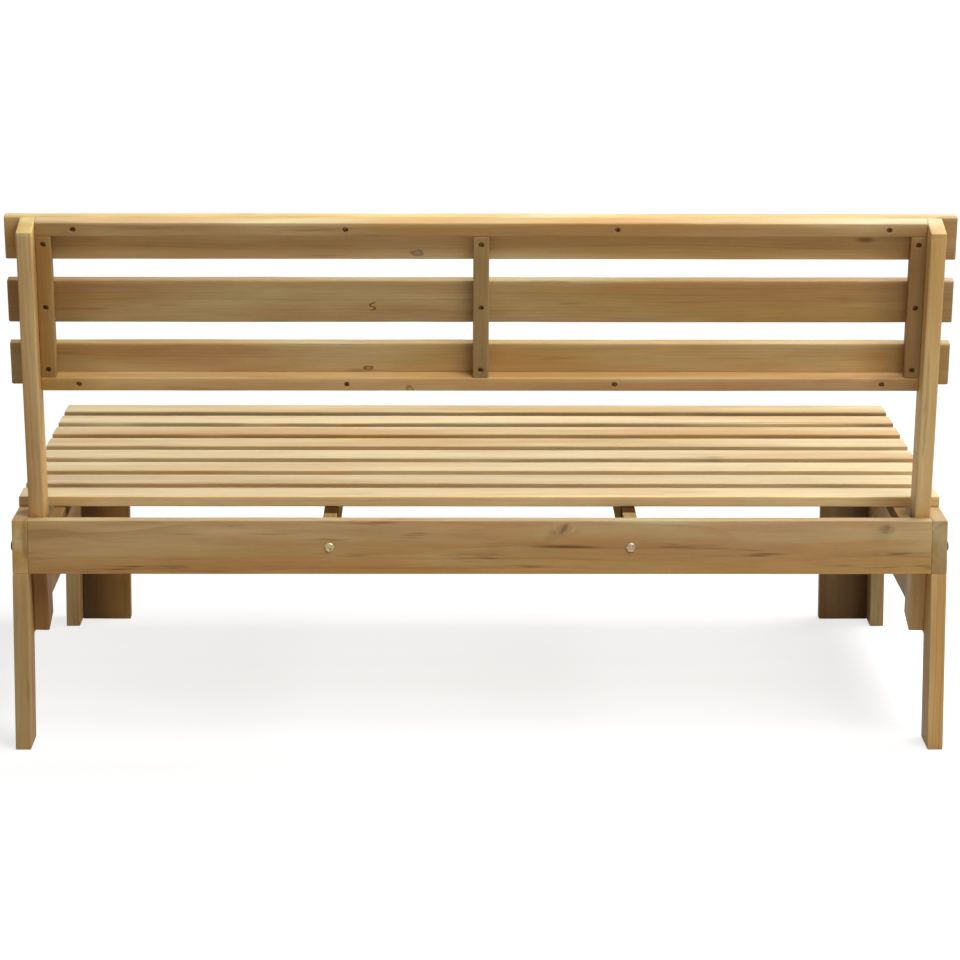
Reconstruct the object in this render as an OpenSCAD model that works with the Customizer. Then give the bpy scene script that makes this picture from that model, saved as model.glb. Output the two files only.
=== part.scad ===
// Slatted pallet bench of oiled acacia, millimetres.
// The front is -Y, the back is +Y, and left and right are seen from the front.
// The origin lies on the floor, in the middle of the outer box.

/* [Frame] */
// Width over the outer faces of the side rails
bench_w = 1500; // [1200:10:1800]
// Depth from the rear legs' rear face to the front legs' front face
frame_depth = 926; // [800:2:1100]
// Thickness of the rails, aprons, legs and lower boards
board_t = 25; // [22:1:32]
// Height of the legs, up to the underside of the rails
leg_h = 291; // [240:3:342]
// Width of each leg's side plank, along the bench's depth
leg_w = 82; // [70:1:100]
// Height of the side rails and of the front and rear aprons
rail_h = 88; // [80:1:110]
// Height of the board between the legs on each side, under the rail
lower_board_h = 118; // [90:1:150]
// Width of the plank on the front of each front leg
face_plank_w = 88; // [70:1:110]
// Bevel along the long edges of every board
edge_ease = 2; // [1:0.5:3]

/* [Seat] */
// Number of seat slats
slat_count = 8; // [6:1:9]
// Width of a seat slat
slat_w = 72; // [60:1:90]
// Thickness of a seat slat
slat_t = 17; // [15:1:22]
// Clearance between the rear slat and the back posts
post_clear = 12.5; // [4:0.5:30]
// How far the front slat reaches past the front legs
seat_overhang = 10; // [4:1:20]
// Width of the two seat bearers
bearer_w = 22; // [20:1:32]
// Height of the two seat bearers
bearer_h = 64; // [56:1:78]
// Width of the batten under the slats' ends
end_batten_w = 19; // [16:1:30]
// Height of the batten under the slats' ends
end_batten_h = 22; // [20:1:30]
// Clearance between that batten and the post beside it
end_batten_gap = 7; // [2:0.5:12]

/* [Back] */
// Angle of the back from upright, in degrees
recline = 14.5; // [12:0.5:17]
// Thickness of a back post, across the bench
post_t = 25; // [22:1:32]
// Width of a back post, square to its length
post_w = 66; // [50:1:74]
// Length of a post above the rails
post_up = 493; // [440:1:560]
// Length of a post below the top of the rails
post_down = 207; // [190:1:240]
// Clearance between a post's rear face and the rear apron's top edge
post_gap = 2; // [0.5:0.5:4]
// Length of the back slats
back_slat_l = 1500; // [1460:10:1560]
// Width of a back slat
back_slat_w = 72; // [60:1:76]
// Thickness of a back slat
back_slat_t = 18; // [15:1:22]
// Open gap between two back slats
back_slat_gap = 36.5; // [28:0.5:40]
// Height of the back's top and bottom rails
back_rail_h = 23; // [20:1:30]
// Thickness of the back's rails and battens, square to the slats
back_rail_t = 25; // [20:1:32]
// Width of the back's upright battens
back_batten_w = 25; // [20:1:32]

/* [Fasteners] */
// Diameter of the bolts
bolt_d = 6; // [5:1:8]
// Length of the bolts under their heads
bolt_l = 60; // [58:1:66]
// Diameter of a bolt head
bolt_head_d = 16; // [12:0.5:18]
// Height of a bolt head
bolt_head_h = 3; // [2:0.5:5]
// Width of the hexagon recess in a bolt head, across its corners
bolt_key_w = 5; // [3:0.5:6]
// Diameter of a barrel nut
barrel_nut_d = 10; // [9:1:12]
// Length of a barrel nut
barrel_nut_l = 16; // [14:1:18]
// Distance from a joint's inner face to the barrel nut in the next board
barrel_nut_reach = 29; // [25:1:30]
// Diameter of the washers on the post bolts
washer_d = 16; // [14:1:20]
// Thickness of the washers on the post bolts
washer_t = 1.5; // [1:0.5:2]
// Width of the nuts on the post bolts, across their flats
nut_w = 10; // [9:0.5:13]
// Height of the nuts on the post bolts
nut_h = 5; // [4:0.5:6]
// Diameter of the wood screws
screw_d = 4; // [3:0.5:5]
// Diameter of a wood screw's head
screw_head_d = 7.5; // [6:0.5:9]
// Height of a wood screw's head
screw_head_h = 2.5; // [2:0.5:3]
// Depth of wood that a slat screw enters in the slat
slat_bite = 11; // [8:0.5:12]
// How deep a screw's head lies below the face of its board
head_sink = 3; // [2:0.5:5]
// Length of the screws that hold the back to the posts
panel_screw_l = 40; // [36:1:44]
// How deep those screws' heads lie below the inner faces of the outer battens
panel_head_sink = 1; // [0.5:0.5:3]
// Diameter of the wooden dowels
dowel_d = 10; // [8:1:12]
// Length of the wooden dowels
dowel_l = 40; // [32:2:44]
// Play round the bolts, screws and dowels in their holes
hole_play = 0.2; // [0.1:0.1:0.6]

/* [Hidden] */
$fn = 48;

seat_z = leg_h + rail_h;
lower_board_z = leg_h - lower_board_h;
half_w = bench_w / 2;
inner_w = bench_w - 2 * board_t;

// The post turns about its rear face at the height of the rails' top
pivot_depth = board_t + post_gap;
back_reach = post_up * sin(recline) - pivot_depth;
total_depth = back_reach + frame_depth + seat_overhang;
rear_y = total_depth / 2 - back_reach;
front_y = rear_y - frame_depth;
pivot_y = rear_y - pivot_depth;

// The slats share the depth between the front overhang and the posts evenly
front_slat_y = front_y - seat_overhang;
rear_slat_y = pivot_y - post_w / cos(recline) - post_clear - slat_w;
slat_pitch = (rear_slat_y - front_slat_y) / (slat_count - 1);
post_inner_x = half_w - board_t - post_t;
bearer_x = inner_w / 6;
bearer_l = frame_depth - 2 * board_t;
end_batten_x = post_inner_x - end_batten_gap - end_batten_w;

back_pitch = back_slat_w + back_slat_gap;
// The outer battens are screwed tight to the posts
back_panel_x = post_inner_x;
back_drop = 2 * back_pitch + back_slat_w;
back_batten_l = back_drop - 2 * back_rail_h;
back_low = post_up - back_drop;
back_rail_y = -post_w;

bolt_hole_d = bolt_d + hole_play;
screw_hole_d = screw_d + hole_play;
sink_hole_d = screw_head_d + hole_play * 2;
dowel_hole_d = dowel_d + hole_play;
bolt_z = leg_h + rail_h / 2;
// The post bolts' washers lie between the dowels' tops and the end battens
washer_clear = 2;
post_bolt_z = [leg_h + dowel_l / 2 + washer_d / 2, seat_z - end_batten_h - washer_d / 2 - washer_clear];
slat_screw_l = end_batten_h + slat_bite - head_sink;
back_screw_l = back_rail_t + slat_bite - head_sink;
rail_screw_inset = 60;
rail_screw_x = back_panel_x - rail_screw_inset;
batten_screw_inset = 14;
// The screws into the posts cross those into the slats, so they lie nearer the middle
panel_screw_inset = 22;
dowel_inset = leg_w / 4;
side_board_l = frame_depth - 2 * leg_w;
side_dowel_inset = leg_w + side_board_l / 6;
bearer_sink = bearer_h - end_batten_h + head_sink;
// How far cuts run past a face
slack = 1;

sides = [-1, 1];
side_name = ["left", "right"];

paired_parts = [
    "side_rail", "rear_leg", "front_leg", "front_leg_face", "lower_side_board",
    "back_post", "seat_bearer", "seat_end_batten"
];
single_parts = [
    "rear_apron", "front_apron", "back_slat_top", "back_slat_middle", "back_slat_bottom",
    "back_top_rail", "back_bottom_rail", "back_batten_left", "back_batten_centre", "back_batten_right",
    "frame_bolts", "barrel_nuts", "post_washers", "post_nuts",
    "seat_screws", "back_screws", "panel_screws", "frame_dowels"
];

// Outline of a board's section with bevelled corners, a wide and b high
function eased(a, b) = let (e = edge_ease) [
    [e, 0], [a - e, 0], [a, e], [a, b - e], [a - e, b], [e, b], [0, b - e], [0, e]
];

// Boards with one corner at the origin, running along X, Y or Z
module bar_x(l, depth, height) {
    rotate([90, 0, 90]) linear_extrude(l) polygon(eased(depth, height));
}

module bar_y(width, l, height) {
    translate([0, l, 0]) rotate([90, 0, 0]) linear_extrude(l) polygon(eased(width, height));
}

module bar_z(width, depth, l) {
    linear_extrude(l) polygon(eased(width, depth));
}

// Children are mirrored to the side: -1 is the left, 1 is the right
module on_side(s) {
    scale([s, 1, 1]) children();
}

// Children stand in the back's own frame: +Z runs up the posts and -Y is the sitter's side
module on_back() {
    translate([0, pivot_y, seat_z]) rotate([-recline, 0, 0]) children();
}

// A bolt along +Z, with the underside of its head at the origin
module bolt() {
    cylinder(d = bolt_d, h = bolt_l);
    difference() {
        translate([0, 0, -bolt_head_h]) cylinder(d = bolt_head_d, h = bolt_head_h);
        translate([0, 0, -bolt_head_h - slack])
            cylinder(d = bolt_key_w, h = bolt_head_h / 2 + slack, $fn = 6);
    }
}

// A wood screw along +Z, with the top of its head at the origin
module wood_screw(l) {
    difference() {
        cylinder(d = screw_head_d, h = screw_head_h);
        translate([0, 0, -slack]) cylinder(d = screw_d / 2, h = screw_head_h / 2 + slack, $fn = 6);
    }
    cylinder(d = screw_d, h = l);
}

// The hole for a wood screw, sunk from the origin along +Z
module screw_hole(l, sink) {
    translate([0, 0, -slack]) cylinder(d = sink_hole_d, h = sink + screw_head_h + slack);
    cylinder(d = screw_hole_d, h = sink + l + slack / 2);
}

// A barrel nut along +Z, centred, with its cross bore along X
module barrel_nut() {
    difference() {
        cylinder(d = barrel_nut_d, h = barrel_nut_l, center = true);
        rotate([0, 90, 0]) cylinder(d = bolt_hole_d, h = 2 * barrel_nut_d, center = true);
    }
}

// The hole for a barrel nut, centred, open towards +Z
module barrel_hole(open) {
    translate([0, 0, -barrel_nut_l / 2]) cylinder(d = barrel_nut_d + hole_play, h = barrel_nut_l + open);
}

// Places of the bolts through the side rails into the aprons' ends
module at_side_bolts() {
    for (s = sides) for (y = [rear_y - board_t / 2, front_y + board_t / 2]) {
        on_side(s) translate([half_w, y, bolt_z]) rotate([0, -90, 0]) children();
    }
}

// Places of the bolts through the aprons into the bearers' ends, heads outside
module at_bearer_bolts() {
    for (s = sides) {
        translate([s * bearer_x, rear_y, bolt_z]) rotate([90, 0, 0]) children();
        translate([s * bearer_x, front_y, bolt_z]) rotate([-90, 0, 0]) children();
    }
}

// Places of the bolts through the side rails and the posts
module at_post_bolts() {
    for (s = sides) for (z = post_bolt_z) {
        on_side(s) translate([half_w, post_middle_y(z), z]) rotate([0, -90, 0]) children();
    }
}

// Where the middle of a post crosses the height z
function post_middle_y(z) = pivot_y - post_w / 2 / cos(recline) - (seat_z - z) * tan(recline);

// Where the barrel nuts for the side bolts lie in the aprons, opening inwards
module at_side_nuts() {
    for (s = sides) {
        translate([s * (half_w - board_t - barrel_nut_reach), rear_y - board_t / 2, bolt_z])
            rotate([90, 0, 0]) children();
        translate([s * (half_w - board_t - barrel_nut_reach), front_y + board_t / 2, bolt_z])
            rotate([-90, 0, 0]) children();
    }
}

// Where the barrel nuts for the bearer bolts lie in the bearers, opening to the middle
module at_bearer_nuts() {
    for (s = sides) for (y = [rear_y - board_t - barrel_nut_reach, front_y + board_t + barrel_nut_reach]) {
        on_side(s) translate([bearer_x, y, bolt_z]) rotate([0, -90, 0]) rotate([0, 0, 90]) children();
    }
}

// Seat slats run from the front, number 1, to the back
function slat_y(i) = front_slat_y + i * slat_pitch;

// The middle of the stretch where a slat lies on the bearers
function screw_y(i) = (max(slat_y(i), front_y + board_t) + slat_y(i) + slat_w) / 2;

// Places of the screws under the seat, at the top of their sunk heads
module at_seat_screws() {
    for (i = [0 : slat_count - 1]) for (s = sides) for (x = [bearer_x, end_batten_x + end_batten_w / 2]) {
        translate([s * x, screw_y(i), seat_z - end_batten_h + head_sink]) children();
    }
}

// Places of the screws from the back rails into the slats, in the back's own frame
module at_rail_screws() {
    for (x = [-1, -1 / 3, 1 / 3, 1] * rail_screw_x) for (z = [post_up, back_low + back_rail_h]) {
        translate([x, back_rail_y + back_rail_t, z - back_rail_h / 2]) rotate([90, 0, 0]) children();
    }
}

// Places of the screws from the back battens into the slats, in the back's own frame
module at_batten_screws() {
    low = back_low + back_rail_h + batten_screw_inset;
    high = post_up - back_rail_h - batten_screw_inset;
    batten_x = back_panel_x - back_batten_w / 2;
    for (x = [-batten_x, 0, batten_x]) for (z = [low, back_low + back_drop / 2, high]) {
        translate([x, back_rail_y + back_rail_t, z]) rotate([90, 0, 0]) children();
    }
}

// Places of the screws from the outer battens into the posts beside them, in the back's own frame
module at_panel_screws() {
    low = back_low + back_rail_h + panel_screw_inset;
    high = post_up - back_rail_h - panel_screw_inset;
    for (s = sides) for (z = [low, high]) {
        on_side(s) translate([back_panel_x - back_batten_w, back_rail_y + back_rail_t / 2, z])
            rotate([0, 90, 0]) children();
    }
}

// Dowels upright between the rails and what stands below them
module at_upright_dowels() {
    for (s = sides) for (y = [
        rear_y - dowel_inset, rear_y - leg_w + dowel_inset,
        front_y + dowel_inset, front_y + leg_w - dowel_inset,
        rear_y - side_dowel_inset, front_y + side_dowel_inset
    ]) {
        translate([s * (half_w - board_t / 2), y, leg_h - dowel_l / 2]) children();
    }
    for (s = sides) for (x = [board_t + dowel_inset, board_t + face_plank_w - dowel_inset]) {
        translate([s * (half_w - x), front_y + board_t / 2, leg_h - dowel_l / 2]) children();
    }
}

// Dowels along the depth, between each lower board and the legs
module at_board_dowels() {
    for (s = sides) for (y = [rear_y - leg_w, front_y + leg_w]) {
        for (z = [lower_board_z + dowel_inset, leg_h - 2 * dowel_inset]) {
            translate([s * (half_w - board_t / 2), y - dowel_l / 2, z]) rotate([-90, 0, 0]) children();
        }
    }
}

// Dowels across, between a front leg's side plank and its front plank
module at_face_dowels() {
    for (s = sides) for (z = [leg_h / 4, leg_h * 5 / 8]) {
        on_side(s) translate([half_w - board_t - dowel_l / 2, front_y + board_t / 2, z])
            rotate([0, 90, 0]) children();
    }
}

module all_dowel_places() {
    at_upright_dowels() children();
    at_board_dowels() children();
    at_face_dowels() children();
}

module dowel_holes() {
    all_dowel_places() translate([0, 0, -hole_play]) cylinder(d = dowel_hole_d, h = dowel_l + 2 * hole_play);
}

module side_rail(s) {
    color("tan") difference() {
        on_side(s) translate([half_w - board_t, front_y, leg_h]) bar_y(board_t, frame_depth, rail_h);
        at_side_bolts() translate([0, 0, -slack]) cylinder(d = bolt_hole_d, h = bolt_l);
        at_post_bolts() translate([0, 0, -slack]) cylinder(d = bolt_hole_d, h = bolt_l);
        at_upright_dowels() cylinder(d = dowel_hole_d, h = dowel_l + hole_play);
    }
}

// An apron between the side rails, with its rear face at y
module apron(y) {
    color("peru") difference() {
        translate([-inner_w / 2, y - board_t, leg_h]) bar_x(inner_w, board_t, rail_h);
        at_side_bolts() cylinder(d = bolt_hole_d, h = bolt_l + slack);
        at_side_nuts() barrel_hole(board_t);
        at_bearer_bolts() translate([0, 0, -slack]) cylinder(d = bolt_hole_d, h = bolt_l);
        at_upright_dowels() cylinder(d = dowel_hole_d, h = dowel_l + hole_play);
    }
}

// The side plank of a leg, with its front edge at y
module leg(s, y) {
    color("tan") difference() {
        on_side(s) translate([half_w - board_t, y, 0]) bar_z(board_t, leg_w, leg_h);
        dowel_holes();
    }
}

module front_leg_face(s) {
    color("tan") difference() {
        on_side(s) translate([half_w - board_t - face_plank_w, front_y, 0])
            bar_z(face_plank_w, board_t, leg_h);
        dowel_holes();
    }
}

module lower_side_board(s) {
    color("peru") difference() {
        on_side(s) translate([half_w - board_t, front_y + leg_w, lower_board_z])
            bar_y(board_t, side_board_l, lower_board_h);
        dowel_holes();
    }
}

module back_post(s) {
    color("burlywood") difference() {
        on_back() on_side(s) translate([post_inner_x, -post_w, -post_down])
            bar_z(post_t, post_w, post_down + post_up);
        at_post_bolts() cylinder(d = bolt_hole_d, h = bolt_l + slack);
        on_back() at_panel_screws() cylinder(d = screw_hole_d, h = panel_head_sink + panel_screw_l + hole_play);
    }
}

module seat_bearer(s) {
    color("peru") difference() {
        translate([s * bearer_x - bearer_w / 2, front_y + board_t, seat_z - bearer_h])
            bar_y(bearer_w, bearer_l, bearer_h);
        at_bearer_bolts() cylinder(d = bolt_hole_d, h = bolt_l + slack);
        at_bearer_nuts() barrel_hole(bearer_w);
        at_seat_screws() translate([0, 0, -bearer_sink]) screw_hole(slat_screw_l, bearer_sink);
    }
}

module seat_end_batten(s) {
    color("peru") difference() {
        on_side(s) translate([end_batten_x, front_y + board_t, seat_z - end_batten_h])
            bar_y(end_batten_w, bearer_l, end_batten_h);
        at_seat_screws() translate([0, 0, -head_sink]) screw_hole(slat_screw_l, head_sink);
    }
}

module seat_slat(i) {
    color("wheat") difference() {
        translate([-half_w, slat_y(i), seat_z]) bar_x(bench_w, slat_w, slat_t);
        at_seat_screws() cylinder(d = screw_hole_d, h = slat_screw_l + hole_play);
    }
}

// Underside of a back slat, counted down from the top, in the back's own frame
function back_slat_z(i) = post_up - back_slat_w - i * back_pitch;

module back_slat(i) {
    color("wheat") difference() {
        on_back() translate([-back_slat_l / 2, back_rail_y - back_slat_t, back_slat_z(i)])
            bar_x(back_slat_l, back_slat_t, back_slat_w);
        on_back() at_rail_screws() screw_hole(back_screw_l, head_sink);
        on_back() at_batten_screws() screw_hole(back_screw_l, head_sink);
    }
}

// A rail of the back, with its underside at z in the back's own frame
module back_rail(z) {
    color("burlywood") on_back() difference() {
        translate([-back_panel_x, back_rail_y, z]) bar_x(2 * back_panel_x, back_rail_t, back_rail_h);
        at_rail_screws() screw_hole(back_screw_l, head_sink);
    }
}

// An upright batten of the back, with its left side at x
module back_batten(x) {
    color("burlywood") on_back() difference() {
        translate([x, back_rail_y, back_low + back_rail_h]) bar_z(back_batten_w, back_rail_t, back_batten_l);
        at_batten_screws() screw_hole(back_screw_l, head_sink);
        at_panel_screws() screw_hole(panel_screw_l, panel_head_sink);
    }
}

module frame_bolts() {
    color("silver") {
        at_side_bolts() bolt();
        at_bearer_bolts() bolt();
        at_post_bolts() bolt();
    }
}

module barrel_nuts() {
    color("silver") {
        at_side_nuts() barrel_nut();
        at_bearer_nuts() barrel_nut();
    }
}

module post_washers() {
    color("silver") at_post_bolts() translate([0, 0, board_t + post_t]) difference() {
        cylinder(d = washer_d, h = washer_t);
        translate([0, 0, -slack]) cylinder(d = bolt_hole_d, h = washer_t + 2 * slack);
    }
}

module post_nuts() {
    color("silver") at_post_bolts() translate([0, 0, board_t + post_t + washer_t]) difference() {
        cylinder(d = nut_w / cos(30), h = nut_h, $fn = 6);
        translate([0, 0, -slack]) cylinder(d = bolt_hole_d, h = nut_h + 2 * slack);
    }
}

module seat_screws() {
    color("gray") at_seat_screws() wood_screw(slat_screw_l);
}

module back_screws() {
    color("gray") on_back() {
        at_rail_screws() translate([0, 0, head_sink]) wood_screw(back_screw_l);
        at_batten_screws() translate([0, 0, head_sink]) wood_screw(back_screw_l);
    }
}

module panel_screws() {
    color("gray") on_back() at_panel_screws() translate([0, 0, panel_head_sink]) wood_screw(panel_screw_l);
}

module frame_dowels() {
    color("wheat") all_dowel_places() cylinder(d = dowel_d, h = dowel_l);
}

// Both sides of the frame, and the posts and battens beside them
for (k = [0, 1]) {
    s = sides[k];
    n = side_name[k];
    side_rail(s);
    leg(s, rear_y - leg_w);
    leg(s, front_y);
    front_leg_face(s);
    lower_side_board(s);
    back_post(s);
    seat_bearer(s);
    seat_end_batten(s);
}
for (i = [0 : slat_count - 1]) {
    seat_slat(i);
}
apron(rear_y);  // rear_apron
apron(front_y + board_t);  // front_apron
back_slat(0);  // back_slat_top
back_slat(1);  // back_slat_middle
back_slat(2);  // back_slat_bottom
back_rail(post_up - back_rail_h);  // back_top_rail
back_rail(back_low);  // back_bottom_rail
back_batten(-back_panel_x);  // back_batten_left
back_batten(-back_batten_w / 2);  // back_batten_centre
back_batten(back_panel_x - back_batten_w);  // back_batten_right
frame_bolts();
barrel_nuts();
post_washers();
post_nuts();
seat_screws();
back_screws();
panel_screws();
frame_dowels();
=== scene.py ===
# Slatted bench of oiled acacia: its boards, fasteners, finishes and a plain studio.
import math
import random

import bmesh
import bpy
import numpy as np
from mathutils import Matrix, Vector


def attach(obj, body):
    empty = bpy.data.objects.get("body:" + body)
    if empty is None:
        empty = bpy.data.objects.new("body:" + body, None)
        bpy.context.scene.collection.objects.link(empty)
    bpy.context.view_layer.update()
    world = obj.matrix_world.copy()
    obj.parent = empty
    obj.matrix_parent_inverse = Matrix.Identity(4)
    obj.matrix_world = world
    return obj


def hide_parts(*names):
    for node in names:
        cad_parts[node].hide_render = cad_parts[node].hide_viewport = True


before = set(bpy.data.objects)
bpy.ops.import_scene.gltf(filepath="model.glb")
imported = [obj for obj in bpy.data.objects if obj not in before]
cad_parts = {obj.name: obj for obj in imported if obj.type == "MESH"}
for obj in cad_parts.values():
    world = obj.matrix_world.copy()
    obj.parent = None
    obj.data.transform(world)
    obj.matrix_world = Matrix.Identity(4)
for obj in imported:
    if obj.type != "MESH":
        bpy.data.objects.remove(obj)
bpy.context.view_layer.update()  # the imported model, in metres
mm = 0.001
print("bench: frame loaded,", len(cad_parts), "nodes")


# Camera: the photographer stood behind the bench, a little above the back's top

cameraView = {
    "place": (0.0602, 6.3832, 1.6570),
    "turn": 179.433,  # degrees about the vertical, 180 looks straight at the back
    "pitch": 9.679,  # degrees below the horizon
    "roll": 0.1455,
    "sensor": 36.0,
    "lens": 142.70,
    "shift": -0.125,  # the photograph is cropped so that the bench sits in its middle
    "clipEnd": 60.0,
}


def makeCamera(view):
    data = bpy.data.cameras.new("camera")
    data.sensor_width = view["sensor"]
    data.lens = view["lens"]
    data.shift_y = view["shift"]
    data.clip_end = view["clipEnd"]
    camera = bpy.data.objects.new("camera", data)
    turn = Matrix.Rotation(math.radians(view["turn"]), 4, "Z")
    tilt = Matrix.Rotation(math.radians(90.0 - view["pitch"]), 4, "X")
    roll = Matrix.Rotation(math.radians(view["roll"]), 4, "Z")
    camera.matrix_world = Matrix.Translation(view["place"]) @ turn @ tilt @ roll
    bpy.context.scene.collection.objects.link(camera)
    bpy.context.scene.camera = camera


makeCamera(cameraView)
print("bench: camera set")


# Short names for the nodes that the trees below are made of

def addNode(tree, kind, inputs=None, **settings):
    node = tree.nodes.new(kind)
    for name, value in settings.items():
        setattr(node, name, value)
    for name, value in (inputs or {}).items():
        if isinstance(value, bpy.types.NodeSocket):
            tree.links.new(value, node.inputs[name])
        else:
            node.inputs[name].default_value = value
    return node


def calc(tree, operation, *values):
    return addNode(tree, "ShaderNodeMath", dict(enumerate(values)), operation=operation).outputs[0]


def times(tree, product, *others):
    for other in others:
        product = calc(tree, "MULTIPLY", product, other)
    return product


def scale(tree, value, factor, add=0.0):
    return calc(tree, "MULTIPLY_ADD", value, factor, add)


def vectorCalc(tree, operation, *values):
    node = addNode(tree, "ShaderNodeVectorMath", dict(enumerate(values)), operation=operation)
    return node.outputs["Value" if operation in ("LENGTH", "DISTANCE") else "Vector"]


def scaleVector(tree, vector, factor):
    return addNode(tree, "ShaderNodeVectorMath", {0: vector, "Scale": factor}, operation="SCALE").outputs[0]


def splitVector(tree, vector):
    return addNode(tree, "ShaderNodeSeparateXYZ", {0: vector}).outputs


def joinVector(tree, x, y, z):
    return addNode(tree, "ShaderNodeCombineXYZ", {0: x, 1: y, 2: z}).outputs[0]


def noise(tree, vector, stretch, detail=2.0, roughness=0.5):
    place = vectorCalc(tree, "MULTIPLY", vector, stretch)
    sizes = {"Vector": place, "Scale": 1.0, "Detail": detail, "Roughness": roughness}
    return addNode(tree, "ShaderNodeTexNoise", sizes).outputs


def centredNoise(tree, vector, stretch):  # a vector that strays about zero
    return vectorCalc(tree, "SUBTRACT", noise(tree, vector, stretch)[1], (0.5, 0.5, 0.5))


def ease(tree, value, low, high, first=0.0, last=1.0):  # a smooth step from first to last
    sizes = {"Value": value, "From Min": low, "From Max": high, "To Min": first, "To Max": last}
    return addNode(tree, "ShaderNodeMapRange", sizes, interpolation_type="SMOOTHSTEP").outputs[0]


def mixColour(tree, factor, first, second, blend="MIX"):
    sizes = {0: factor, 6: first, 7: second}
    return addNode(tree, "ShaderNodeMix", sizes, data_type="RGBA", blend_type=blend).outputs[2]


def newTree(name, kind, given, made):  # given and made: the labels of each kind of socket
    tree = bpy.data.node_groups.new(name, kind)
    for way, sockets in (("INPUT", given), ("OUTPUT", made)):
        for socketKind, labels in sockets.items():
            for label in labels:
                tree.interface.new_socket(label, in_out=way, socket_type="NodeSocket" + socketKind)
    return tree, tree.nodes.new("NodeGroupInput").outputs, tree.nodes.new("NodeGroupOutput").inputs


def newShape(name, **given):  # a tree that makes a mesh
    return newTree(name, "GeometryNodeTree", given, {"Geometry": ["Geometry"]})


def newMaterial(name):
    material = bpy.data.materials.new(name)
    material.use_nodes = True
    return material, material.node_tree


def shade(red, green, blue):  # a colour as seen on a screen, 0 to 255, to Blender's linear one
    parts = [c / 255 for c in (red, green, blue)]
    return tuple(c / 12.92 if c < 0.04045 else ((c + 0.055) / 1.055) ** 2.4 for c in parts) + (1.0,)


# Oiled acacia: one trunk of rings, streaks, pores and knots that every board is cut from

acacia = {
    "pale": shade(230, 206, 153),
    "honey": shade(204, 158, 88),
    "rose": shade(199, 142, 88),
    "brown": shade(129, 85, 43),
    "knot": shade(70, 42, 22),
    "ringDepth": 0.24,  # how dark the late wood of a ring gets
    "lateWood": 0.93,  # a ring darkens up to this part of its width
    "fibreDepth": 0.16,
    "mottleDepth": 0.14,  # soft lighter and darker patches a few centimetres long
    "poreDepth": 0.22,
    "wearAndHighlightWidth": 2.5 * mm,  # painted highlight along the rounded edges, with some sanding wear: a pale band
    "wearAndHighlightDepth": 0.20,
    "wander": (0.02, 0.022, 0.022),  # how far the grain strays, in metres
    "knotRagged": 0.007,
    "knotShape": (0.5, 1.0, 0.3),  # knots are longer along the grain and run through the board
    "knotPush": 1.1,  # how far a knot pushes the rings aside, in its own sizes
    "roughness": 0.5,
    "bump": 0.35,
    "bumpHeight": 0.25 * mm,
    # patches of each pattern to the metre, along, across and through the board
    "zones": (1.3, 11.0, 11.0),
    "tints": (1.7, 17.0, 17.0),
    "drifts": (2.2, 9.0, 9.0),
    "fades": (2.5, 30.0, 30.0),
    "streakPatches": (3.0, 20.0, 20.0),
    "streaks": (7.0, 95.0, 95.0),
    "mottles": (9.0, 55.0, 55.0),
    "fibres": (14.0, 620.0, 620.0),
    "rags": (70.0, 160.0, 160.0),
    "pores": (75.0, 1900.0, 1900.0),
}


def addKnots(tree, wood, given, flow, own):  # dark cores, and how far they push the rings aside
    rags = scaleVector(tree, centredNoise(tree, own, wood["rags"]), wood["knotRagged"])
    ragged = vectorCalc(tree, "ADD", flow, rags)
    push = 0.0
    core = 0.0
    for letter in "AB":
        size = given["Knot Size " + letter]
        away = vectorCalc(tree, "SUBTRACT", ragged, given["Knot Place " + letter])
        away = vectorCalc(tree, "MULTIPLY", away, wood["knotShape"])
        far = calc(tree, "DIVIDE", vectorCalc(tree, "LENGTH", away), size)
        bulge = calc(tree, "EXPONENT", times(tree, far, far, -0.5))
        push = scale(tree, times(tree, bulge, size), wood["knotPush"], push)
        middle = ease(tree, far, 0.30, 0.75, 0.45, 1.0)  # paler than the knot's rim
        dark = times(tree, middle, ease(tree, far, 0.75, 1.15, 1.0, 0.0))
        core = calc(tree, "MAXIMUM", core, dark)
    return core, push


def addRings(tree, wood, given, flow, own, push):  # rings round the pith, each as dark as chance has it
    across = vectorCalc(tree, "SUBTRACT", flow, given["Pith"])
    across = vectorCalc(tree, "MULTIPLY", across, (0.0, 1.0, 1.0))
    reach = calc(tree, "ADD", vectorCalc(tree, "LENGTH", across), push)
    count = calc(tree, "DIVIDE", reach, given["Ring Width"])
    part = calc(tree, "FRACT", count)
    rise = ease(tree, part, 0.15, wood["lateWood"])
    fall = ease(tree, part, wood["lateWood"], 1.0, 1.0, 0.0)
    number = calc(tree, "FLOOR", count)
    chance = addNode(tree, "ShaderNodeTexWhiteNoise", {"W": number}, noise_dimensions="1D").outputs[0]
    strength = ease(tree, chance, 0.0, 1.0, 0.1, 1.0)
    fade = ease(tree, noise(tree, own, wood["fades"])[0], 0.35, 0.65, 0.25, 1.0)
    return times(tree, rise, fall, strength, fade)


def addWearAndHighlight(tree, wood, given, place, fibre):  # painted highlight and sanding wear on the edges, which are where two of the faces are near
    inset = vectorCalc(tree, "SUBTRACT", given["Half Size"], vectorCalc(tree, "ABSOLUTE", place))
    near = vectorCalc(tree, "SUBTRACT", (wood["wearAndHighlightWidth"],) * 3, inset)
    near = splitVector(tree, vectorCalc(tree, "MAXIMUM", near, (0.0, 0.0, 0.0)))
    most = calc(tree, "MAXIMUM", calc(tree, "MAXIMUM", near[0], near[1]), near[2])
    total = calc(tree, "ADD", calc(tree, "ADD", near[0], near[1]), near[2])
    wearAndHighlight = calc(tree, "DIVIDE", calc(tree, "SUBTRACT", total, most), wood["wearAndHighlightWidth"])
    return times(tree, wearAndHighlight, ease(tree, fibre, 0.3, 0.7, 0.6, 1.0))


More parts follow.
